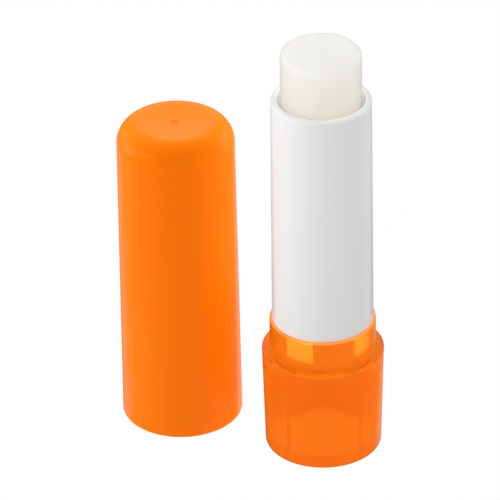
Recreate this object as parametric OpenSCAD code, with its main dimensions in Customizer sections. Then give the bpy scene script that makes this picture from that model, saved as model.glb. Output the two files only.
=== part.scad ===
// Lip balm stick, opened, with its cap standing beside it on the table
// The stick stands on its foot with its axis on Z and z = 0 on the table, and all sizes are in millimetres

/* [Base] */
// Outer diameter of the base at its shoulder
base_d = 19.3; // [18.4:0.1:21]
// Height of the shoulder above the table
base_h = 17.25; // [14:0.25:22]
// Draw-in of the outside of the base from shoulder to foot, on the radius
base_draft = 0.42; // [0.1:0.02:0.6]
// Wall of the skirt at the foot
skirt_wall = 1.05; // [0.8:0.05:1.3]
// Rounding of the foot's outer edge
foot_round = 0.33; // [0.1:0.01:0.5]
// Rounding of the shoulder's outer edge
shoulder_round = 0.16; // [0.05:0.01:0.3]
// Height of the thick belt inside the base, under the end of the neck
belt_h = 4.3; // [2.6:0.1:6]
// Width of the small lug that stands in from the belt
lug_w = 1.6; // [1:0.1:2.4]
// Height of the lug
lug_h = 1.2; // [0.8:0.1:2]
// How far the lug stands in from the belt
lug_in = 1.5; // [0.8:0.1:2]
// Turn of the lug from the front, in degrees
lug_turn = -7; // [-20:1:20]
// Number of ribs inside the skirt that key the screw's foot
skirt_ribs = 4; // [3:1:6]
// Width of a skirt rib
skirt_rib_w = 0.8; // [0.6:0.1:1.2]
// How far a skirt rib stands in from the skirt's inner wall
skirt_rib_in = 0.5; // [0.35:0.05:0.8]

/* [Collar] */
// Width of the shoulder round the collar, which the closed cap stops on
shoulder_w = 1.27; // [1.1:0.01:1.6]
// Height of the collar above the shoulder
collar_h = 5.58; // [4.5:0.1:8]
// Wall of the collar
collar_wall = 0.78; // [0.65:0.02:0.95]
// Width of the collar's rim that shows round the barrel
rim_ledge = 0.39; // [0.2:0.02:0.5]
// Rounding of the collar's rim
rim_round = 0.3; // [0.1:0.01:0.35]

/* [Barrel] */
// Length of the barrel above the collar
barrel_len = 39.18; // [32:0.02:46]
// Draw-in of the barrel's outside from collar to mouth, on the radius
barrel_draft = 0.24; // [0:0.02:0.3]
// Wall of the barrel at the collar
barrel_wall = 1.09; // [0.95:0.02:1.2]
// Rounding of the mouth's outer edge
mouth_round = 0.55; // [0.3:0.05:0.6]
// Rounding of the mouth's inner edge
mouth_inner_round = 0.1; // [0.05:0.01:0.2]
// Length of the neck that turns inside the collar
neck_len = 4.5; // [3.5:0.1:5.5]
// Thickness of the floor between the neck's bore and the barrel's bore
stop_t = 1; // [0.6:0.1:1.5]
// How far that floor stands in from the barrel's bore
stop_step = 0.45; // [0.35:0.05:0.6]
// Height of the snap bead at the end of the neck
bead_h = 1.1; // [0.8:0.1:1.5]
// How far the snap bead stands out from the neck
bead_out = 0.22; // [0.15:0.01:0.3]
// Number of openings that part the neck into snap fingers
neck_slots = 4; // [3:1:4]
// Width of an opening between two snap fingers
neck_slot_w = 7; // [5:0.1:7.5]
// Turn of the openings from the front, in degrees
neck_slot_turn = 15; // [0:1:30]
// Number of key ribs in the barrel's bore
key_ribs = 4; // [2:1:6]
// Width of a key rib
key_rib_w = 0.8; // [0.6:0.1:1.2]
// Length of the bore above the key ribs
key_rib_short = 2; // [1:0.1:3]

/* [Screw] */
// Outer diameter of the screw's thread
screw_d = 4.6; // [4.2:0.1:5.2]
// Root diameter of the screw's thread
screw_root_d = 3.2; // [2.6:0.1:3.4]
// Rise of the carrier for one turn of the base
screw_lead = 3.3; // [2.8:0.1:4]
// Width of the thread's ridge at its root
ridge_w = 1.3; // [1:0.05:1.5]
// Width of the thread's ridge at its crest
ridge_crest_w = 0.7; // [0.5:0.05:0.9]
// Diameter of the plain stem under the thread
stem_d = 3.6; // [3.5:0.1:4.4]
// Thickness of the screw's foot, which closes the base
foot_t = 2; // [1.6:0.1:2.6]
// Diameter of the cone at the bottom of the stem
hub_d = 7.2; // [5:0.2:10]
// Height of the cone at the bottom of the stem
hub_h = 3.6; // [2:0.2:6]
// Chamfer at the tip of the screw
tip_chamfer = 0.4; // [0.1:0.1:0.8]

/* [Elevator] */
// Height of the elevator's cup
cup_h = 8; // [6:0.5:11]
// Wall of the elevator's cup
cup_wall = 0.49; // [0.45:0.02:0.9]
// Thickness of the cup's floor
cup_floor = 1.2; // [0.8:0.1:1.8]
// Height of the nut in the middle of the elevator
nut_h = 3.8; // [3:0.1:5]
// Wall of the nut outside the screw's thread
nut_wall = 1.1; // [0.8:0.1:1.6]
// Number of fins that hold the balm in the cup
cup_fins = 4; // [3:1:6]
// Thickness of a fin
cup_fin_t = 0.6; // [0.4:0.1:1]
// How far a fin stands into the balm
cup_fin_in = 0.9; // [0.5:0.1:1.4]

/* [Balm] */
// Depth of the balm's top below the mouth when it is wound down
balm_sunk = 2.75; // [1:0.05:5]
// Turns of the base from wound down to the pose that is shown
shown_turns = 3.5; // [1:0.25:5]
// Width of the rounding round the balm's top, on the radius
balm_round_w = 3; // [1:0.1:5]
// Height of the rounding round the balm's top
balm_round_h = 1.5; // [0.5:0.1:2.2]

/* [Cap] */
// Free height between the mouth of the barrel and the cap's crown
cap_headroom = 6.69; // [4:0.01:12]
// Thickness of the cap's crown
cap_crown_t = 1.2; // [0.9:0.1:2]
// Draw-in of the cap's outside from mouth to crown, on the radius
cap_draft = 0.4; // [0.1:0.01:0.5]
// Outer rounding between the cap's side and crown
cap_round = 3.5; // [2.4:0.1:5]
// Depth of the shallow dish in the crown
crown_dish = 0.25; // [0.1:0.01:0.4]
// Rounding of the cap's mouth edge
cap_edge_round = 0.16; // [0.05:0.01:0.3]
// Number of grip ribs inside the cap's mouth
grip_ribs = 8; // [4:1:12]
// Width of a grip rib
grip_rib_w = 0.7; // [0.4:0.1:1.2]
// Diameter of the moulding gate's hollow in the middle of the crown
gate_d = 1.5; // [1:0.1:3]
// Depth of the moulding gate's hollow
gate_depth = 0.15; // [0.05:0.05:0.3]
// Distance of the standing cap's axis from the stick's axis, to the left
cap_left = 22.56; // [21:0.5:40]
// Distance of the standing cap's axis from the stick's axis, to the back
cap_back = 9.91; // [5:0.5:30]

/* [Clearances] */
// Radial gap between the neck and the collar
turn_gap = 0.1; // [0.06:0.01:0.14]
// Gap between the barrel and the collar, along the axis
seat_gap = 0.1; // [0.05:0.01:0.2]
// Gap round the elevator in the barrel
slide_gap = 0.15; // [0.1:0.01:0.2]
// Gap between the screw's thread and the nut
thread_gap = 0.16; // [0.12:0.01:0.2]
// Gap between the screw and the pocket in the balm
pocket_gap = 0.4; // [0.2:0.05:0.6]
// Gap round the screw's pressed foot
press_gap = 0.03; // [0.01:0.01:0.05]
// Radial gap between the collar and the cap's wall
cap_gap = 0.12; // [0.08:0.01:0.2]
// Radial gap between the collar and the tips of the grip ribs
grip_gap = 0.03; // [0.02:0.01:0.06]
// Height left above the elevator when it is wound right up
top_margin = 2; // [0.8:0.1:3]

/* [Hidden] */
$fn = 96;

orange = [0.96, 0.47, 0.04];
clear_orange = [0.95, 0.43, 0.02, 0.75];
white = [0.95, 0.95, 0.96];
natural = [0.93, 0.92, 0.89];
wax = [0.95, 0.94, 0.90];

// Overrun of every cut past the face that it opens
cut = 0.5;
// Steps in an outline's rounded corner
arc_steps = 6;

// Heights of the base, from the table up
collar_top_z = base_h + collar_h;
barrel_foot_z = collar_top_z + seat_gap;
neck_end_z = barrel_foot_z - neck_len;
belt_top_z = neck_end_z - seat_gap;
belt_low_z = belt_top_z - belt_h;

// Radii of the base, from outside in
base_r = base_d / 2;
base_foot_r = base_r - base_draft;
skirt_bore_r = base_foot_r - skirt_wall;
collar_r = base_r - shoulder_w;
collar_bore_r = collar_r - collar_wall;

// Barrel
barrel_r = collar_r - rim_ledge;
barrel_top_z = barrel_foot_z + barrel_len;
barrel_bore_r = barrel_r - barrel_wall;
neck_r = collar_bore_r - turn_gap;
neck_bore_r = barrel_bore_r - stop_step;
stop_z = barrel_foot_z + stop_t;
bead_r = neck_r + bead_out;
recess_r = bead_r + turn_gap;
belt_in = skirt_bore_r - recess_r;
recess_top_z = neck_end_z + bead_h + seat_gap;
neck_slot_h = neck_len - stop_t / 2;
key_top_z = barrel_top_z - key_rib_short;

// Elevator and its travel
elevator_r = barrel_bore_r - slide_gap;
cup_bore_r = elevator_r - cup_wall;
elevator_low_z = stop_z + slide_gap;
travel = barrel_top_z - top_margin - cup_h - elevator_low_z;
shown_rise = shown_turns * screw_lead;
elevator_z = elevator_low_z + shown_rise;
key_slot_w = key_rib_w + 2 * slide_gap;
key_slot_r = neck_bore_r - slide_gap;
cup_cut_r = min(key_slot_r, cup_bore_r - slide_gap);
fin_share = 0.6;
fin_h = (cup_h - cup_floor) * fin_share;

// Screw
screw_r = screw_d / 2;
screw_root_r = screw_root_d / 2;
stem_r = stem_d / 2;
stem_top_z = belt_top_z + stem_r;
screw_top_z = elevator_low_z + travel + nut_h;
thread_first_z = stem_top_z + ridge_w;
thread_last_z = screw_top_z - tip_chamfer - ridge_w;
thread_sides = 24;
fade_steps = 6;
thread_step_z = screw_lead / thread_sides;
nut_r = screw_r + thread_gap + nut_wall;
// The cut that makes the nut starts and ends more than a full turn outside it
tap_low_z = elevator_z - screw_lead - ridge_w;
tap_top_z = elevator_z + nut_h + screw_lead + ridge_w;
foot_r = skirt_bore_r - press_gap;
foot_key_z = foot_t / 2;
foot_chamfer = foot_round / 2;

// Balm
balm_r = cup_bore_r;
balm_low_z = elevator_z + cup_floor;
balm_top_z = barrel_top_z - balm_sunk + shown_rise;
pocket_r = screw_r + pocket_gap;
pocket_top_z = screw_top_z + pocket_gap + shown_rise;

// Cap, from its mouth up
cap_mouth_r = base_r;
cap_bore_r = collar_r + cap_gap;
cap_wall = cap_mouth_r - cap_bore_r;
cap_h = barrel_top_z - base_h + cap_headroom + cap_crown_t;
cap_top_r = cap_mouth_r - cap_draft;
cap_inner_h = cap_h - cap_crown_t;
cap_inner_round = cap_round - cap_wall;
grip_tip_r = collar_r + grip_gap;

// Points on an arc round [x, z], from angle a0 to angle a1
function arc(x, z, w, h, a0, a1) =
    [for (i = [0 : arc_steps]) let (a = a0 + (a1 - a0) * i / arc_steps) [x + w * cos(a), z + h * sin(a)]];

// Copies spaced evenly round the axis
module around(count, first = 0) {
    for (i = [0 : count - 1])
        rotate([0, 0, first + i * 360 / count]) children();
}

// Upright bar that points outwards along X, between two radii and two heights
module radial_bar(r0, r1, w, z0, z1) {
    translate([r0, -w / 2, z0]) cube([r1 - r0, w, z1 - z0]);
}

// Left-hand screw as one closed surface: a round core with one ridge wound on it.
// Column i stands at angle -i * 360 / thread_sides, and the ridge climbs thread_step_z with each column.
// The ridge swells from nothing over its first columns and fades over its last ones.
module helix_rod(low_z, top_z, core_r, crest_r, root_w, crest_w, first_i, last_i, fade, tip) {
    n = thread_sides;
    m = last_i - first_i;
    function turn(i) = -(first_i + i) * 360 / n;
    function at(r, i, z) = [r * cos(turn(i)), r * sin(turn(i)), z];
    function swell(i) = min(1, i / fade, (m - i) / fade);
    function mid_z(i) = thread_first_z + (first_i + i) * thread_step_z;
    function ridge(i) = let (r = core_r + (crest_r - core_r) * swell(i)) [
        at(core_r, i, mid_z(i) - root_w / 2),
        at(r, i, mid_z(i) - crest_w / 2),
        at(r, i, mid_z(i) + crest_w / 2),
        at(core_r, i, mid_z(i) + root_w / 2)];
    // Numbers of the points: foot ring, ridge, shoulder ring, tip ring
    function foot(i) = i % n;
    function edge(i, k) = n + 4 * i + k;
    function head(i) = n + 4 * (m + 1) + i % n;
    function nose(i) = head(0) + n + i % n;
    function quad(a, b, c, d) = [[a, b, c], [a, c, d]];
    points = concat(
        [for (i = [0 : n - 1]) at(core_r, i, low_z)],
        [for (i = [0 : m]) each ridge(i)],
        [for (i = [0 : n - 1]) at(core_r, i, top_z - tip)],
        [for (i = [0 : n - 1]) at(core_r - tip, i, top_z)]);
    faces = concat(
        [[for (i = [n - 1 : -1 : 0]) foot(i)]],
        [[for (i = [0 : n - 1]) nose(i)]],
        [for (i = [0 : n - 1]) each quad(head(i), head(i + 1), nose(i + 1), nose(i))],
        // Core under the first turn, whose last panel also meets the ridge's start
        [for (i = [0 : n - 2]) each quad(foot(i), foot(i + 1), edge(i + 1, 0), edge(i, 0))],
        let (c = edge(n - 1, 0), rim = [foot(n - 1), foot(0), edge(0, 0), edge(0, 1), edge(0, 2), edge(0, 3),
            edge(n, 0)]) [for (j = [0 : len(rim) - 2]) [c, rim[j], rim[j + 1]]],
        // Ridge, then the core between its turns
        [for (i = [0 : m - 1], k = [0 : 2]) each quad(edge(i, k), edge(i + 1, k), edge(i + 1, k + 1), edge(i, k + 1))],
        [for (i = [0 : m - n - 1]) each quad(edge(i, 3), edge(i + 1, 3), edge(i + 1 + n, 0), edge(i + n, 0))],
        // Core over the last turn, whose first panel also meets the ridge's end
        [for (i = [m - n + 1 : m - 1]) each quad(edge(i, 3), edge(i + 1, 3), head(i + 1), head(i))],
        let (c = edge(m - n + 1, 3), rim = [head(m - n + 1), head(m), edge(m, 3), edge(m, 2), edge(m, 1), edge(m, 0),
            edge(m - n, 3)]) [for (j = [0 : len(rim) - 2]) [c, rim[j], rim[j + 1]]]);
    polyhedron(points, faces, convexity = 8);
}

// Number of the thread column whose ridge is at height z
function column_at(z) = floor((z - thread_first_z) / thread_step_z);

// Skirt, belt and collar in one moulding, open below until the screw's foot closes it
module base_shell() {
    color(clear_orange) {
        rotate_extrude() polygon(concat(
            [[recess_r, belt_low_z + belt_in], [skirt_bore_r, belt_low_z]],
            [[skirt_bore_r, foot_chamfer], [skirt_bore_r + foot_chamfer, 0]],
            arc(base_foot_r - foot_round, foot_round, foot_round, foot_round, -90, 0),
            arc(base_r - shoulder_round, base_h - shoulder_round, shoulder_round, shoulder_round, 0, 90),
            [[collar_r, base_h]],
            arc(collar_r - rim_round, collar_top_z - rim_round, rim_round, rim_round, 0, 90),
            [[collar_bore_r + rim_ledge / 2, collar_top_z]],
            [[collar_bore_r, collar_top_z - rim_ledge / 2]],
            [[collar_bore_r, recess_top_z], [recess_r, recess_top_z]]));
        around(skirt_ribs, 45)
            radial_bar(skirt_bore_r - skirt_rib_in, skirt_bore_r + base_draft / 2, skirt_rib_w,
                foot_key_z, belt_low_z + belt_in / 2);
        rotate([0, 0, lug_turn - 90])
            radial_bar(recess_r - lug_in, recess_r + belt_in / 2, lug_w, belt_top_z - lug_h, belt_top_z);
    }
}

// Round foot that closes the base, cone, plain stem and left-hand thread
module screw_spindle() {
    color(natural) {
        difference() {
            rotate_extrude() polygon([
                [0, 0],
                [foot_r - foot_chamfer, 0],
                [foot_r, foot_chamfer],
                [foot_r, foot_t],
                [hub_d / 2, foot_t],
                [stem_r, foot_t + hub_h],
                [stem_r, stem_top_z],
                [0, stem_top_z]]);
            around(skirt_ribs, 45)
                radial_bar(skirt_bore_r - skirt_rib_in - press_gap, base_r, skirt_rib_w + 2 * press_gap,
                    foot_key_z - press_gap, foot_t + cut);
        }
        helix_rod(stem_top_z - stem_r / 2, screw_top_z, screw_root_r, screw_r, ridge_w, ridge_crest_w,
            0, column_at(thread_last_z), fade_steps, tip_chamfer);
    }
}

// White tube with snap fingers on its neck, which hold it in the collar, and key ribs in its bore
module barrel() {
    color(white) {
        difference() {
            rotate_extrude() polygon(concat(
                [[neck_bore_r, neck_end_z]],
                [[neck_r - bead_out, neck_end_z], [bead_r, neck_end_z + bead_h / 2]],
                [[bead_r, neck_end_z + bead_h], [neck_r, neck_end_z + bead_h]],
                [[neck_r, barrel_foot_z], [barrel_r, barrel_foot_z]],
                arc(barrel_r - barrel_draft - mouth_round, barrel_top_z - mouth_round,
                    mouth_round, mouth_round, 0, 90),
                arc(barrel_bore_r + mouth_inner_round, barrel_top_z - mouth_inner_round,
                    mouth_inner_round, mouth_inner_round, 90, 180),
                [[barrel_bore_r, stop_z], [neck_bore_r, stop_z]]));
            around(neck_slots, neck_slot_turn - 90)
                radial_bar(neck_bore_r / 2, bead_r + cut, neck_slot_w, neck_end_z - cut, neck_end_z + neck_slot_h);
        }
        around(key_ribs)
            radial_bar(neck_bore_r, barrel_bore_r + barrel_wall / 4, key_rib_w, stop_z - stop_t / 2, key_top_z);
    }
}

// Fins inside the cup, which the balm is cast round
module cup_fin_set() {
    around(cup_fins, 45)
        radial_bar(cup_bore_r - cup_fin_in, cup_bore_r + cup_wall / 2, cup_fin_t,
            balm_low_z - cup_floor / 2, balm_low_z + fin_h);
}

// Cup that carries the balm, with the nut in its middle and a slot for each key rib
module elevator() {
    color(white) {
        difference() {
            union() {
                rotate_extrude() polygon([
                    [0, elevator_z],
                    [elevator_r, elevator_z],
                    [elevator_r, elevator_z + cup_h],
                    [cup_bore_r, elevator_z + cup_h],
                    [cup_bore_r, balm_low_z],
                    [nut_r, balm_low_z],
                    [nut_r, elevator_z + nut_h],
                    [0, elevator_z + nut_h]]);
                cup_fin_set();
            }
            around(key_ribs)
                radial_bar(cup_cut_r, elevator_r + cut, key_slot_w, elevator_z - cut, elevator_z + cup_h + cut);
            helix_rod(tap_low_z - ridge_w, tap_top_z + ridge_w,
                screw_root_r + thread_gap, screw_r + thread_gap,
                ridge_w + 2 * thread_gap, ridge_crest_w + 2 * thread_gap,
                column_at(tap_low_z), column_at(tap_top_z), 1, 0);
        }
    }
}

// Wax stick cast into the cup, with a pocket that the screw runs up
module balm() {
    color(wax) {
        difference() {
            rotate_extrude() polygon(concat(
                [[0, balm_low_z], [balm_r, balm_low_z]],
                arc(balm_r - balm_round_w, balm_top_z - balm_round_h, balm_round_w, balm_round_h, 0, 90),
                [[0, balm_top_z]]));
            translate([0, 0, balm_low_z - cut]) cylinder(r = nut_r, h = elevator_z + nut_h - balm_low_z + cut);
            translate([0, 0, balm_low_z]) cylinder(r = pocket_r, h = pocket_top_z - balm_low_z);
            cup_fin_set();
        }
    }
}

// Frosted cap, standing mouth down beside the stick
module cap() {
    color(orange)
        translate([-cap_left, cap_back, 0]) {
            difference() {
                rotate_extrude() polygon(concat(
                    [[cap_bore_r, cap_edge_round]],
                    arc(cap_bore_r + cap_edge_round, cap_edge_round, cap_edge_round, cap_edge_round, 180, 270),
                    arc(cap_mouth_r - cap_edge_round, cap_edge_round, cap_edge_round, cap_edge_round, -90, 0),
                    arc(cap_top_r - cap_round, cap_h - cap_round, cap_round, cap_round, 0, 90),
                    [for (s = [0.75, 0.5, 0.25, 0]) [(cap_top_r - cap_round) * s, cap_h - crown_dish * (1 - s * s)]],
                    [[0, cap_inner_h - crown_dish]],
                    arc(cap_top_r - cap_round, cap_inner_h - crown_dish - cap_inner_round,
                        cap_inner_round, cap_inner_round, 90, 0)));
                translate([0, 0, cap_h - crown_dish - gate_depth])
                    cylinder(d = gate_d, h = crown_dish + gate_depth + cut);
            }
            around(grip_ribs, 180 / grip_ribs)
                radial_bar(grip_tip_r, cap_bore_r + cap_wall / 4, grip_rib_w, cap_edge_round * 4, collar_h);
        }
}

cap();
barrel();
base_shell();
screw_spindle();
elevator();
balm();
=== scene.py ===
# Lip balm stick, wound part way out, with its cap standing beside it
import math

import bmesh
import bpy
from mathutils import Matrix, Vector


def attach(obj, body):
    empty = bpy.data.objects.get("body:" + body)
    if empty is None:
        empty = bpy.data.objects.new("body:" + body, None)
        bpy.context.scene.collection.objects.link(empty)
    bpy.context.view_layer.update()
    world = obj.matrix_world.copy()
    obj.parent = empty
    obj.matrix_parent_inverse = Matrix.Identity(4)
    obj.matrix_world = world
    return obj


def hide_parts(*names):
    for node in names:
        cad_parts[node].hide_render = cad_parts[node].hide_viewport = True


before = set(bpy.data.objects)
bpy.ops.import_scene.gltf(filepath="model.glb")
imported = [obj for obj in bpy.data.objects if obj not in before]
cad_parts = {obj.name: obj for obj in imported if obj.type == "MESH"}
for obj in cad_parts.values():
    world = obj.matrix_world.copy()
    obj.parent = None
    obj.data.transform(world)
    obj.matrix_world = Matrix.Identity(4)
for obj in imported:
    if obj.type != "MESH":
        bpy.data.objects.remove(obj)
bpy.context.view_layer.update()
scene = bpy.context.scene
mm = 0.001  # sizes below are in millimetres, the scene is in metres
sharpAngle = 32  # degrees between faces that keep a sharp edge


def spinOutline(points, steps, rounds=()):
    # a closed outline turned round the axis: points are (radius, height), rounds are (point, radius, segments)
    bm = bmesh.new()
    verts = [bm.verts.new((r * mm, 0, z * mm)) for r, z in points]
    for a, b in zip(verts, verts[1:] + verts[:1]):
        bm.edges.new((a, b))
    for number, radius, segments in rounds:
        bmesh.ops.bevel(bm, geom=[verts[number]], offset=radius * mm, offset_type="OFFSET", segments=segments,
                        profile=0.5, affect="VERTICES", material=-1)
    bmesh.ops.spin(bm, geom=bm.verts[:] + bm.edges[:], cent=(0, 0, 0), axis=(0, 0, 1), dvec=(0, 0, 0),
                   angle=math.tau, steps=steps, use_merge=True, use_duplicate=False)
    bmesh.ops.remove_doubles(bm, verts=bm.verts[:], dist=1e-7)
    bmesh.ops.recalc_face_normals(bm, faces=bm.faces[:])
    return bm


def addBlock(bm, low, high, turn=0, bevel=0):
    # a block between two corners in millimetres, turned about the axis of the stick
    made = bmesh.ops.create_cube(bm, size=1)["verts"]
    size = [(h - l) * mm for l, h in zip(low, high)]
    middle = Vector([(h + l) / 2 * mm for l, h in zip(low, high)])
    bmesh.ops.scale(bm, verts=made, vec=size)
    bmesh.ops.translate(bm, verts=made, vec=middle)
    bmesh.ops.rotate(bm, verts=made, cent=(0, 0, 0), matrix=Matrix.Rotation(math.radians(turn), 3, "Z"))
    if bevel:
        edges = list({e for v in made for e in v.link_edges})
        bmesh.ops.bevel(bm, geom=edges, offset=bevel * mm, offset_type="OFFSET", segments=3, profile=0.5,
                        affect="EDGES", material=-1)


def meshObject(name, bm):
    mesh = bpy.data.meshes.new(name)
    bm.to_mesh(mesh)
    bm.free()
    made = bpy.data.objects.new(name, mesh)
    scene.collection.objects.link(made)
    return made


def combine(piece, bm, operation):
    # joins blocks to a piece or cuts them out of it, and keeps one clean mesh
    other = meshObject(piece.name + "_tool", bm)
    change = piece.modifiers.new("tool", "BOOLEAN")
    change.operation = operation
    change.solver = "EXACT"
    change.object = other
    bpy.context.view_layer.update()
    result = bpy.data.meshes.new_from_object(piece.evaluated_get(bpy.context.evaluated_depsgraph_get()))
    old = piece.data
    piece.modifiers.clear()
    piece.data = result
    bpy.data.meshes.remove(old)
    bpy.data.objects.remove(other)


def finishPiece(piece, material, body, slot, *nodes):
    piece.data.name = piece.name
    piece.data.materials.clear()
    piece.data.materials.append(material)
    piece.data.shade_smooth()
    piece.data.set_sharp_from_angle(angle=math.radians(sharpAngle))
    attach(piece, body)
    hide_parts(*nodes)
    print(piece.name, len(piece.data.polygons), "faces")
    return piece


cameraSet = {"place": (-11.25, -568.85, 383.87), "pitch": 31.51, "roll": 1.005, "focalPixels": 4283, "frame": 500,
             "sensor": 36, "nearest": 50, "farthest": 20000}
cameraData = bpy.data.cameras.new("camera")
cameraData.sensor_width = cameraSet["sensor"]
cameraData.lens = cameraSet["focalPixels"] * cameraSet["sensor"] / cameraSet["frame"]
cameraData.clip_start = cameraSet["nearest"] * mm
cameraData.clip_end = cameraSet["farthest"] * mm
camera = bpy.data.objects.new("camera", cameraData)
scene.collection.objects.link(camera)
camera.matrix_world = (Matrix.Translation(Vector(cameraSet["place"]) * mm)
                       @ Matrix.Rotation(math.radians(90 - cameraSet["pitch"]), 4, "X")
                       @ Matrix.Rotation(math.radians(-cameraSet["roll"]), 4, "Z"))
scene.camera = camera
scene.view_settings.view_transform = "Standard"
scene.view_settings.look = "None"
print("camera ready")


def addNode(tree, kind, **values):
    node = tree.nodes.new(kind)
    for label, value in values.items():
        setattr(node, label, value)
    return node


def mapRange(tree, source, fromMin, fromMax, toMin=0, toMax=1, interpolation="LINEAR"):
    node = addNode(tree, "ShaderNodeMapRange", interpolation_type=interpolation)
    for label, value in (("From Min", fromMin), ("From Max", fromMax), ("To Min", toMin), ("To Max", toMax)):
        node.inputs[label].default_value = value
    tree.links.new(source, node.inputs["Value"])
    return node.outputs["Result"]


def newMaterial(name):
    material = bpy.data.materials.new(name)
    material.use_nodes = True
    tree = material.node_tree
    return material, tree, tree.nodes["Principled BSDF"], addNode(tree, "ShaderNodeTexCoord")


def newGroup(name, inputs, outputs):
    group = bpy.data.node_groups.new(name, "ShaderNodeTree")
    for label, kind, value in inputs:
        socket = group.interface.new_socket(name=label, in_out="INPUT", socket_type=kind)
        if value is not None:
            socket.default_value = value
    for label, kind in outputs:
        group.interface.new_socket(name=label, in_out="OUTPUT", socket_type=kind)
    return group, group.nodes.new("NodeGroupInput"), group.nodes.new("NodeGroupOutput")


def useGroup(tree, group, **values):
    node = addNode(tree, "ShaderNodeGroup", node_tree=group)
    for label, value in values.items():
        node.inputs[label].default_value = value
    return node


def sizedNoise(group, given, label, detail, roughness):
    # noise whose grain is a size in millimetres, given by the group's input of that name
    rate = addNode(group, "ShaderNodeMath", operation="DIVIDE")
    rate.inputs[0].default_value = 1 / mm
    noise = addNode(group, "ShaderNodeTexNoise")
    noise.inputs["Detail"].default_value = detail
    noise.inputs["Roughness"].default_value = roughness
    group.links.new(given.outputs[label], rate.inputs[1])
    group.links.new(given.outputs["Vector"], noise.inputs["Vector"])
    group.links.new(rate.outputs[0], noise.inputs["Scale"])
    return noise.outputs["Fac"]


skinNoise = {"grainDetail": 2.0, "waveDetail": 1.0, "roughness": 0.55, "low": 0.35, "high": 0.65}


def makeSkinGroup():
    # moulded skin: fine grain on slow waves, as a height and as a mask
    s = skinNoise
    group, given, result = newGroup("mouldedSkin", [
        ("Vector", "NodeSocketVector", None), ("GrainSize", "NodeSocketFloat", 0.12),
        ("WaveSize", "NodeSocketFloat", 1.5), ("WaveShare", "NodeSocketFloat", 0.3)],
        [("Height", "NodeSocketFloat"), ("Mask", "NodeSocketFloat")])
    links = group.links
    blend = addNode(group, "ShaderNodeMix")
    links.new(given.outputs["WaveShare"], blend.inputs["Factor"])
    links.new(sizedNoise(group, given, "GrainSize", s["grainDetail"], s["roughness"]), blend.inputs["A"])
    links.new(sizedNoise(group, given, "WaveSize", s["waveDetail"], s["roughness"]), blend.inputs["B"])
    links.new(blend.outputs["Result"], result.inputs["Height"])
    links.new(mapRange(group, blend.outputs["Result"], s["low"], s["high"]), result.inputs["Mask"])
    return group


toneNoise = {"detail": 3.0, "roughness": 0.5, "low": 0.3, "high": 0.7}


def makeToneGroup():
    # slow drift between two tones of one moulding
    s = toneNoise
    group, given, result = newGroup("toneDrift", [
        ("Vector", "NodeSocketVector", None), ("Tone", "NodeSocketColor", (1, 1, 1, 1)),
        ("Second", "NodeSocketColor", (1, 1, 1, 1)), ("Size", "NodeSocketFloat", 12.0)],
        [("Color", "NodeSocketColor")])
    links = group.links
    mix = addNode(group, "ShaderNodeMix", data_type="RGBA")
    noise = sizedNoise(group, given, "Size", s["detail"], s["roughness"])
    links.new(mapRange(group, noise, s["low"], s["high"]), mix.inputs["Factor"])
    links.new(given.outputs["Tone"], mix.inputs["A"])
    links.new(given.outputs["Second"], mix.inputs["B"])
    links.new(mix.outputs["Result"], result.inputs["Color"])
    return group


mouldedSkin = makeSkinGroup()
toneDrift = makeToneGroup()


def dressSurface(tree, shader, place, finish):
    # one way of giving a moulded piece its tone, gloss variation and skin
    tone = useGroup(tree, toneDrift, Tone=(*finish["tone"], 1), Second=(*finish["second"], 1),
                    Size=finish["driftSize"])
    skin = useGroup(tree, mouldedSkin, GrainSize=finish["grainSize"], WaveSize=finish["waveSize"],
                    WaveShare=finish["waveShare"])
    bump = addNode(tree, "ShaderNodeBump")
    bump.inputs["Distance"].default_value = finish["bumpHeight"] * mm
    bump.inputs["Strength"].default_value = finish["bump"]
    links = tree.links
    links.new(place.outputs["Object"], tone.inputs["Vector"])
    links.new(place.outputs["Object"], skin.inputs["Vector"])
    links.new(tone.outputs["Color"], shader.inputs["Base Color"])
    links.new(mapRange(tree, skin.outputs["Mask"], 0, 1, *finish["rough"]), shader.inputs["Roughness"])
    links.new(skin.outputs["Height"], bump.inputs["Height"])
    links.new(bump.outputs["Normal"], shader.inputs["Normal"])


def heightMask(tree, place, top, reach, amount):
    # a value that rises from 0 to the amount below a height in millimetres, or above it with a negative reach
    spot = addNode(tree, "ShaderNodeSeparateXYZ")
    tree.links.new(place.outputs["Object"], spot.inputs[0])
    return mapRange(tree, spot.outputs["Z"], top * mm, (top - reach) * mm, 0, amount)


def tintBelow(tree, shader, place, top, tone, reach=0.2):
    # another tone under a height of the piece, or over it with a negative reach
    mix = addNode(tree, "ShaderNodeMix", data_type="RGBA")
    mix.inputs["B"].default_value = (*tone, 1)
    tree.links.new(heightMask(tree, place, top, reach, 1), mix.inputs["Factor"])
    tree.links.new(shader.inputs["Base Color"].links[0].from_socket, mix.inputs["A"])
    tree.links.new(mix.outputs["Result"], shader.inputs["Base Color"])


capFinish = {"tone": (1.0, 0.19, 0.0014), "second": (0.99, 0.184, 0.0012), "driftSize": 9, "grainSize": 0.14,
             "waveSize": 1.6, "waveShare": 0.25, "rough": (0.25, 0.27), "bumpHeight": 0.02, "bump": 0.06,
             "shine": 0.3, "shineTone": (1, 0.45, 0.14)}
capPlastic, tree, shader, place = newMaterial("capPlastic")
dressSurface(tree, shader, place, capFinish)
shader.inputs["Specular IOR Level"].default_value = capFinish["shine"]
shader.inputs["Specular Tint"].default_value = (*capFinish["shineTone"], 1)

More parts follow.
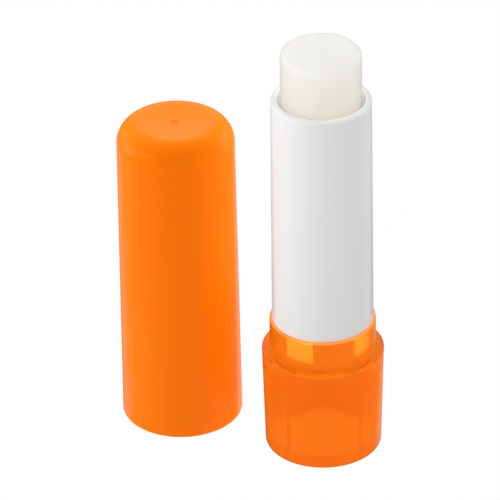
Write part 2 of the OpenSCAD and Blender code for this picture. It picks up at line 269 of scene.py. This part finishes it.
barrelFinish = {"tone": (0.79, 0.79, 0.79), "second": (0.785, 0.785, 0.78), "driftSize": 14, "grainSize": 0.5,
                "waveSize": 6, "waveShare": 0.8, "rough": (0.29, 0.29), "bumpHeight": 0.01, "bump": 0.0,
                "paintedGlow": 2.1, "glowTop": 22.9, "glowEdge": 0.2, "glowFade": 1.0, "glowReach": 4.5, "borePaintedGlow": 0.36,
                "boreRadius": 7.05, "boreFoot": 52, "boreReach": 10, "paintedGlowTone": (1.0, 0.95, 0.95)}
barrelPlastic, tree, shader, place = newMaterial("barrelPlastic")
dressSurface(tree, shader, place, barrelFinish)
f = barrelFinish
# painted light: the neck inside the collar and the bore near the mouth glow by emission, in place of the light that the
# white wall lets through
shader.inputs["Emission Color"].default_value = (*f["paintedGlowTone"], 1)
flat = addNode(tree, "ShaderNodeVectorMath", operation="MULTIPLY")
flat.inputs[1].default_value = (1, 1, 0)
around = addNode(tree, "ShaderNodeVectorMath", operation="LENGTH")
inside = addNode(tree, "ShaderNodeMath", operation="LESS_THAN")
inside.inputs[1].default_value = f["boreRadius"] * mm
paintedGlow = addNode(tree, "ShaderNodeMath", operation="MULTIPLY_ADD")
fading = addNode(tree, "ShaderNodeMath", operation="ADD")  # the painted glow is weaker towards the neck's end
tree.links.new(place.outputs["Object"], flat.inputs[0])
tree.links.new(flat.outputs["Vector"], around.inputs[0])
tree.links.new(around.outputs["Value"], inside.inputs[0])
tree.links.new(inside.outputs[0], paintedGlow.inputs[0])
tree.links.new(heightMask(tree, place, f["boreFoot"], -f["boreReach"], f["borePaintedGlow"]), paintedGlow.inputs[1])
tree.links.new(heightMask(tree, place, f["glowTop"], f["glowEdge"], f["paintedGlow"]), paintedGlow.inputs[2])
tree.links.new(paintedGlow.outputs[0], fading.inputs[0])
tree.links.new(heightMask(tree, place, f["glowTop"], f["glowReach"], -f["glowFade"]), fading.inputs[1])
tree.links.new(fading.outputs[0], shader.inputs["Emission Strength"])

baseFinish = {"tone": (1.0, 0.42, 0.04), "second": (0.99, 0.4, 0.036), "driftSize": 8, "grainSize": 0.4,
              "waveSize": 3, "waveShare": 0.7, "rough": (0.12, 0.18), "bumpHeight": 0.01, "bump": 0.08,
              "bending": 1.49}
hazeFinish = dict(baseFinish, tone=(1.0, 0.22, 0.003), second=(0.99, 0.21, 0.003), share=0.74, rough=(0.3, 0.36),
                  shine=0.1, skirtTop=17.3, skirtTone=(1.0, 0.169, 0.0005), rimFoot=22.52, rimReach=0.25,
                  rimHighlightTone=(1.0, 0.38, 0.09), rimPaintedGlow=0.3)
basePlastic, tree, shader, place = newMaterial("basePlastic")
dressSurface(tree, shader, place, baseFinish)
shader.inputs["Transmission Weight"].default_value = 1.0
shader.inputs["IOR"].default_value = baseFinish["bending"]
haze = addNode(tree, "ShaderNodeBsdfPrincipled")  # the milky share of the clear orange
f = hazeFinish
dressSurface(tree, haze, place, f)
tintBelow(tree, haze, place, f["skirtTop"], f["skirtTone"])
# painted highlight: a lighter tone over the rim's round
tintBelow(tree, haze, place, f["rimFoot"], f["rimHighlightTone"], -f["rimReach"])
haze.inputs["Specular IOR Level"].default_value = f["shine"]
# painted highlight: the top of the rim glows faintly by emission
haze.inputs["Emission Color"].default_value = (*f["rimHighlightTone"], 1)
tree.links.new(heightMask(tree, place, f["rimFoot"], -f["rimReach"], f["rimPaintedGlow"]), haze.inputs["Emission Strength"])
facing = addNode(tree, "ShaderNodeNewGeometry")
blend = addNode(tree, "ShaderNodeMixShader")
tree.links.new(mapRange(tree, facing.outputs["Backfacing"], 0, 1, f["share"], 0), blend.inputs["Fac"])
tree.links.new(shader.outputs[0], blend.inputs[1])
tree.links.new(haze.outputs[0], blend.inputs[2])
tree.links.new(blend.outputs[0], tree.nodes["Material Output"].inputs["Surface"])

screwFinish = {"tone": (1.0, 0.88, 0.75), "second": (1.0, 0.86, 0.72), "driftSize": 6, "grainSize": 0.3,
               "waveSize": 2, "waveShare": 0.5, "rough": (0.2, 0.26), "bumpHeight": 0.01, "bump": 0.2,
               "footTop": 2.1, "footTone": (1.0, 0.42, 0.06), "bending": 1.12}
screwPlastic, tree, shader, place = newMaterial("screwPlastic")
dressSurface(tree, shader, place, screwFinish)
tintBelow(tree, shader, place, screwFinish["footTop"], screwFinish["footTone"])
shader.inputs["Transmission Weight"].default_value = 1.0
shader.inputs["IOR"].default_value = screwFinish["bending"]

elevatorFinish = {"tone": (0.8, 0.8, 0.79), "second": (0.78, 0.78, 0.77), "driftSize": 6, "grainSize": 0.3,
                  "waveSize": 2, "waveShare": 0.5, "rough": (0.35, 0.42), "bumpHeight": 0.01, "bump": 0.2}
elevatorPlastic, tree, shader, place = newMaterial("elevatorPlastic")
dressSurface(tree, shader, place, elevatorFinish)

balmFinish = {"tone": (0.89, 0.88, 0.86), "second": (0.88, 0.87, 0.84), "driftSize": 5, "grainSize": 0.25,
              "waveSize": 2.2, "waveShare": 0.7, "rough": (0.32, 0.44), "bumpHeight": 0.03, "bump": 0.25,
              "paintedBounceTone": (0.885, 0.825, 0.72), "deepTop": 69.5, "deepReach": 9, "scatter": (1.0, 0.85, 0.6),
              "scatterDepth": 2.5}
balmWax, tree, shader, place = newMaterial("balmWax")
dressSurface(tree, shader, place, balmFinish)
# painted warm bounce light and shade: the wax turns yellower lower down, inside the tube
tintBelow(tree, shader, place, balmFinish["deepTop"], balmFinish["paintedBounceTone"], balmFinish["deepReach"])
shader.inputs["Subsurface Weight"].default_value = 1.0
shader.inputs["Subsurface Radius"].default_value = balmFinish["scatter"]
shader.inputs["Subsurface Scale"].default_value = balmFinish["scatterDepth"] * mm
print("materials ready")

capSizes = {"left": 22.56, "back": 9.91, "height": 52.75, "mouthRadius": 9.65, "crownRadius": 9.225, "bore": 8.5,
            "crownWall": 1.2, "crownRound": 3.5, "innerRound": 2.35, "edgeRound": 0.16, "dish": 0.25,
            "gateRadius": 0.75, "gateLip": 0.005, "gateDepth": 0.15, "gateDraft": 0.1, "dotRadius": 0.28,
            "dotDraft": 0.06, "dotDepth": 0.05, "crownLip": 0.02, "dishShares": (1, 0.85, 0.7, 0.55, 0.4, 0.25),
            "ribs": 8, "ribWidth": 0.7, "ribTip": 8.41, "ribTop": 5.58, "ribFoot": 0.64, "ribRoot": 0.3,
            "ribRound": 0.05, "steps": 224}


def buildCap():
    s = capSizes
    flat = s["crownRadius"] - s["crownRound"] - s["crownLip"]
    dish = [(flat * t, s["height"] - s["dish"] * (1 - t * t)) for t in s["dishShares"]]
    centre = s["height"] - s["dish"]
    inner = s["height"] - s["crownWall"] - s["dish"]
    points = [(s["bore"], 0), (s["mouthRadius"], 0), (s["crownRadius"], s["height"])] + dish + [
        (s["gateRadius"], centre + s["gateLip"]), (s["gateRadius"] - s["gateDraft"], centre - s["gateDepth"]),
        (s["dotRadius"], centre - s["gateDepth"]), (s["dotRadius"] - s["dotDraft"], centre - s["dotDepth"]),
        (0, centre - s["dotDepth"]), (0, inner), (s["bore"], inner)]
    last = len(points) - 1
    bm = spinOutline(points, s["steps"], [(0, s["edgeRound"], 3), (1, s["edgeRound"], 3),
                                          (2, s["crownRound"], 16), (last, s["innerRound"], 8)])
    piece = meshObject("cap", bm)
    ribs = bmesh.new()
    for i in range(s["ribs"]):
        addBlock(ribs, (s["ribTip"], -s["ribWidth"] / 2, s["ribFoot"]),
                 (s["bore"] + s["ribRoot"], s["ribWidth"] / 2, s["ribTop"]), turn=(i + 0.5) * 360 / s["ribs"],
                 bevel=s["ribRound"])
    combine(piece, ribs, "UNION")
    piece.data.transform(Matrix.Translation((-s["left"] * mm, s["back"] * mm, 0)))
    return finishPiece(piece, capPlastic, "loose_cap", "cap_plastic", "cap")


cap = buildCap()
cap.visible_transmission = False  # keeps its colour out of the clear base

barrelSizes = {"neckEnd": 18.43, "foot": 22.93, "top": 62.11, "radius": 7.99, "topRadius": 7.75, "bore": 6.9,
               "neckRadius": 7.5, "neckBore": 6.45, "stopTop": 23.93, "beadRadius": 7.72, "beadHeight": 1.1,
               "beadLead": 0.22, "mouthRound": 0.55, "mouthInnerRound": 0.1, "openings": 4, "openingWidth": 7,
               "openingHeight": 4.0, "openingTurn": 15, "openingRound": 0.3, "overrun": 1, "beadRound": 0.08,
               "beadTopRound": 0.05, "footRound": 0.06, "ribs": 4, "ribWidth": 0.8, "ribTop": 60.11,
               "ribSunk": 0.5, "ribRoot": 0.25, "ribRound": 0.06, "steps": 224}


def buildBarrel():
    s = barrelSizes
    bead = s["neckEnd"] + s["beadHeight"]
    points = [(s["neckBore"], s["neckEnd"]), (s["neckRadius"] - s["beadLead"], s["neckEnd"]),
              (s["beadRadius"], s["neckEnd"] + s["beadHeight"] / 2), (s["beadRadius"], bead),
              (s["neckRadius"], bead), (s["neckRadius"], s["foot"]), (s["radius"], s["foot"]),
              (s["topRadius"], s["top"]), (s["bore"], s["top"]), (s["bore"], s["stopTop"]),
              (s["neckBore"], s["stopTop"])]
    bm = spinOutline(points, s["steps"], [(2, s["beadRound"], 2), (3, s["beadTopRound"], 2), (6, s["footRound"], 2),
                                          (7, s["mouthRound"], 6), (8, s["mouthInnerRound"], 3)])
    piece = meshObject("barrel", bm)
    cuts = bmesh.new()
    for i in range(s["openings"]):
        addBlock(cuts, (s["neckBore"] / 2, -s["openingWidth"] / 2, s["neckEnd"] - s["overrun"]),
                 (s["beadRadius"] + s["overrun"], s["openingWidth"] / 2, s["neckEnd"] + s["openingHeight"]),
                 turn=s["openingTurn"] - 90 + i * 360 / s["openings"], bevel=s["openingRound"])
    combine(piece, cuts, "DIFFERENCE")
    ribs = bmesh.new()
    for i in range(s["ribs"]):
        addBlock(ribs, (s["neckBore"], -s["ribWidth"] / 2, s["stopTop"] - s["ribSunk"]),
                 (s["bore"] + s["ribRoot"], s["ribWidth"] / 2, s["ribTop"]), turn=i * 360 / s["ribs"],
                 bevel=s["ribRound"])
    combine(piece, ribs, "UNION")
    return finishPiece(piece, barrelPlastic, "tube", "barrel_plastic", "barrel")


barrel = buildBarrel()

baseSizes = {"footRadius": 9.23, "radius": 9.65, "height": 17.25, "bore": 8.18, "footRound": 0.33,
             "shoulderRound": 0.16, "footChamfer": 0.165, "beltLow": 14.03, "beltIn": 0.36, "beltTop": 18.33,
             "collarRadius": 8.38, "collarTop": 22.83, "collarBore": 7.6, "rimRound": 0.3, "rimChamfer": 0.195,
             "recess": 7.82, "recessTop": 19.63, "beltRound": 0.1, "cornerRound": 0.12, "ribs": 4, "ribWidth": 0.8,
             "ribIn": 0.5, "ribFoot": 1.0, "ribRoot": 0.2, "ribRound": 0.06, "lugWidth": 1.6, "lugHeight": 1.2,
             "lugIn": 1.5, "lugTurn": -7, "steps": 224}


def buildBase():
    s = baseSizes
    points = [(s["recess"], s["beltLow"] + s["beltIn"]), (s["bore"], s["beltLow"]),
              (s["bore"], s["footChamfer"]), (s["bore"] + s["footChamfer"], 0), (s["footRadius"], 0),
              (s["radius"], s["height"]), (s["collarRadius"], s["height"]), (s["collarRadius"], s["collarTop"]),
              (s["collarBore"] + s["rimChamfer"], s["collarTop"]),
              (s["collarBore"], s["collarTop"] - s["rimChamfer"]), (s["collarBore"], s["recessTop"]),
              (s["recess"], s["recessTop"])]
    bm = spinOutline(points, s["steps"], [(0, s["beltRound"], 2), (1, s["beltRound"], 2), (4, s["footRound"], 6),
                                          (5, s["shoulderRound"], 5), (6, s["cornerRound"], 4),
                                          (7, s["rimRound"], 6)])
    piece = meshObject("base_shell", bm)
    ribs = bmesh.new()
    for i in range(s["ribs"]):
        addBlock(ribs, (s["bore"] - s["ribIn"], -s["ribWidth"] / 2, s["ribFoot"]),
                 (s["bore"] + s["ribRoot"], s["ribWidth"] / 2, s["beltLow"] + s["beltIn"] / 2),
                 turn=(i + 0.5) * 360 / s["ribs"], bevel=s["ribRound"])
    addBlock(ribs, (s["recess"] - s["lugIn"], -s["lugWidth"] / 2, s["beltTop"] - s["lugHeight"]),
             (s["recess"] + s["ribRoot"], s["lugWidth"] / 2, s["beltTop"]), turn=s["lugTurn"] - 90,
             bevel=s["ribRound"])
    combine(piece, ribs, "UNION")
    return finishPiece(piece, basePlastic, "base", "base_plastic", "base_shell")


base = buildBase()

balmSizes = {"low": 36.83, "top": 70.91, "radius": 6.26, "roundWidth": 3.0, "roundHeight": 1.5, "pocket": 2.7,
             "pocketTop": 67.86, "nutRadius": 3.56, "nutTop": 39.43, "crownSteps": 14, "steps": 192}


def buildBalm():
    s = balmSizes
    angles = [math.pi / 2 * i / s["crownSteps"] for i in range(s["crownSteps"] + 1)]
    crown = [(s["radius"] - s["roundWidth"] * (1 - math.cos(a)), s["top"] - s["roundHeight"] * (1 - math.sin(a)))
             for a in angles]
    points = [(s["nutRadius"], s["low"]), (s["radius"], s["low"])] + crown + [
        (0, s["top"]), (0, s["pocketTop"]), (s["pocket"], s["pocketTop"]), (s["pocket"], s["nutTop"]),
        (s["nutRadius"], s["nutTop"])]
    piece = meshObject("balm", spinOutline(points, s["steps"]))
    return finishPiece(piece, balmWax, "carrier", "balm_wax", "balm")


balm = buildBalm()

# the screw and the elevator keep their solids and get materials
for node, material in (("screw_spindle", screwPlastic), ("elevator", elevatorPlastic)):
    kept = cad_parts[node]
    kept.data.materials.clear()
    kept.data.materials.append(material)

# lamps and floor in metres; the glossy backdrop is given by the direction that a ray leaves in
studio = {"ambient": 0.84, "floorGlow": 1.0, "floorReach": 4, "floorDrop": 0.00005, "lampSize": 0.3,
          "lampDistance": 0.6, "lampAim": 0.035, "glossHigh": 1.1, "glossNarrow": 0.5, "glossSide": 0.62,
          "glossMiddle": 0.9, "glossLow": -0.15, "glossTop": 0.4}


def pieceGroup(name, pieces):
    group = bpy.data.collections.new(name)
    for piece in pieces:
        group.objects.link(piece)
    return group


def aimFrom(turn, rise):
    # turn is counted from the camera's side towards the left
    a, e = math.radians(turn), math.radians(rise)
    return Vector((-math.sin(a) * math.cos(e), -math.cos(a) * math.cos(e), math.sin(e)))


def addLamp(name, turn, rise, strength, lit, shading, mirrored=0):
    # a square soft lamp aimed at the stick; mirrored is the size of one that shows as a reflection
    size, distance = mirrored or studio["lampSize"], studio["lampDistance"]
    data = bpy.data.lights.new(name, "AREA")
    data.shape = "SQUARE"
    data.size = size
    # strength is the light that a facing surface gets, in units of the white floor
    data.energy = strength * math.pi * distance ** 2 * math.pi
    lamp = bpy.data.objects.new(name, data)
    scene.collection.objects.link(lamp)
    away = aimFrom(turn, rise)
    lamp.location = Vector((0, 0, studio["lampAim"])) + away * distance
    lamp.rotation_euler = away.to_track_quat("Z", "Y").to_euler()
    lamp.light_linking.receiver_collection = lit
    lamp.light_linking.blocker_collection = shading
    lamp.visible_glossy = mirrored > 0


# lamps as (turn, rise, strength) in degrees and shares of the white floor, one bank for each piece; a fourth
# value is the size of a lamp that shows as a reflection, and those below the table show in the upright walls
capBank = [(105, 8, 0.24), (130, 8, 0.38), (-85, 8, 0.14), (-110, 8, 0.54), (-135, 8, 0.6), (135, 45, 0.22),
           (180, 45, 0.46), (66, 24, 0.15, 0.2), (95, 4, 0.1, 0.2), (135, -30, 0.021, 0.3), (150, -30, 0.016, 0.3),
           (-165, -30, 0.036, 0.3), (-150, -30, 0.012, 0.3)]
barrelBank = [(80, 8, 0.115), (105, 8, 0.183), (-110, 8, 0.051), (-135, 8, 0.126), (45, 45, 0.141), (90, 45, 0.14),
              (-135, 45, 0.257), (0, 88, 0.108), (95, -30, 0.032, 0.3), (135, -30, 0.044, 0.3), (-135, -30, 0.028, 0.3)]
balmBank = [(80, 8, 0.12), (130, 8, 0.06), (-110, 8, 0.089), (0, 45, 0.148), (90, 45, 0.087), (-135, 45, 0.104),
            (180, 45, 0.12)]
baseBank = [(80, 8, 0.2), (-85, 8, 0.26), (45, 45, 0.141), (-45, 45, 0.122), (0, 88, 0.077),
            (-150, -30, 0.045, 0.3)]
for piece in (cap, barrel, balm):
    piece.visible_glossy = False  # the photo's pieces don't mirror each other
stickShade = pieceGroup("stickShade", [barrel, balm, base])
capShade = pieceGroup("capShade", [cap])
for piece, bank, shade in ((cap, capBank, capShade), (barrel, barrelBank, stickShade), (balm, balmBank, stickShade),
                           (base, baseBank, stickShade)):
    lit = pieceGroup(piece.name + "Lit", [piece])
    for number, (turn, rise, strength, *mirrored) in enumerate(bank):
        addLamp(f"{piece.name}_lamp{number}", turn, rise, strength, lit, shade, *mirrored)

world = bpy.data.worlds.new("studio")
scene.world = world
world.use_nodes = True
world.cycles.sampling_method = "NONE"  # keeps what each kind of ray meets apart
tree = world.node_tree
tree.nodes.clear()
direction = addNode(tree, "ShaderNodeTexCoord")
parts = addNode(tree, "ShaderNodeSeparateXYZ")
tree.links.new(direction.outputs["Generated"], parts.inputs[0])
path = addNode(tree, "ShaderNodeLightPath")


def worldMath(operation, first, second=None, third=None):
    # inputs are plain numbers or the outputs of other nodes
    node = addNode(tree, "ShaderNodeMath", operation=operation)
    for socket, value in zip(node.inputs, (first, second, third)):
        if isinstance(value, (int, float)):
            socket.default_value = value
        elif value:
            tree.links.new(value, socket)
    return node.outputs[0]


def worldLight(strength, tone=None):
    node = addNode(tree, "ShaderNodeBackground")
    if tone:
        node.inputs["Color"].default_value = tone
    if isinstance(strength, (int, float)):
        node.inputs["Strength"].default_value = strength
    else:
        tree.links.new(strength, node.inputs["Strength"])
    return node.outputs[0]


def pickLight(switch, otherwise, chosen):
    node = addNode(tree, "ShaderNodeMixShader")
    for socket, source in zip(node.inputs, (switch, otherwise, chosen)):
        tree.links.new(source, socket)
    return node.outputs[0]


# the lit backdrop that glossy rays meet is narrow and stands behind the stick
narrow = worldMath("MULTIPLY_ADD", worldMath("ABSOLUTE", parts.outputs["X"]), -studio["glossNarrow"],
                   parts.outputs["Y"])
behind = mapRange(tree, narrow, studio["glossSide"], studio["glossMiddle"], interpolation="SMOOTHSTEP")
height = mapRange(tree, parts.outputs["Z"], studio["glossLow"], studio["glossTop"], 0, studio["glossHigh"],
                  interpolation="SMOOTHSTEP")
backdropLight = worldLight(worldMath("MULTIPLY", behind, height))
# light inside clear plastic meets the plain white
outside = worldMath("LESS_THAN", path.outputs["Transmission Depth"], 0.5)
outerGloss = worldMath("MULTIPLY", path.outputs["Is Glossy Ray"], outside)
light = pickLight(path.outputs["Is Diffuse Ray"], worldLight(1.0), worldLight(studio["ambient"]))
light = pickLight(outerGloss, light, backdropLight)
# what the camera sees past the floor is as white as the floor
light = pickLight(path.outputs["Is Camera Ray"], light, worldLight(1.0, (1, 1, 1, 1)))
tree.links.new(light, addNode(tree, "ShaderNodeOutputWorld").inputs["Surface"])

floorMesh = bmesh.new()
bmesh.ops.create_grid(floorMesh, x_segments=1, y_segments=1, size=studio["floorReach"])
floor = meshObject("floor", floorMesh)
floor.location.z = -studio["floorDrop"]
floorPaint = bpy.data.materials.new("floorPaint")
floorPaint.use_nodes = True
floorTree = floorPaint.node_tree
floorShader = floorTree.nodes["Principled BSDF"]
floorShader.inputs["Base Color"].default_value = (0, 0, 0, 1)
floorShader.inputs["Specular IOR Level"].default_value = 0
floorShader.inputs["Emission Color"].default_value = (1, 1, 1, 1)
floorShader.inputs["Emission Strength"].default_value = studio["floorGlow"]
floor.data.materials.append(floorPaint)
floor.visible_glossy = False
floorPaint.cycles.emission_sampling = "NONE"
print("studio ready")
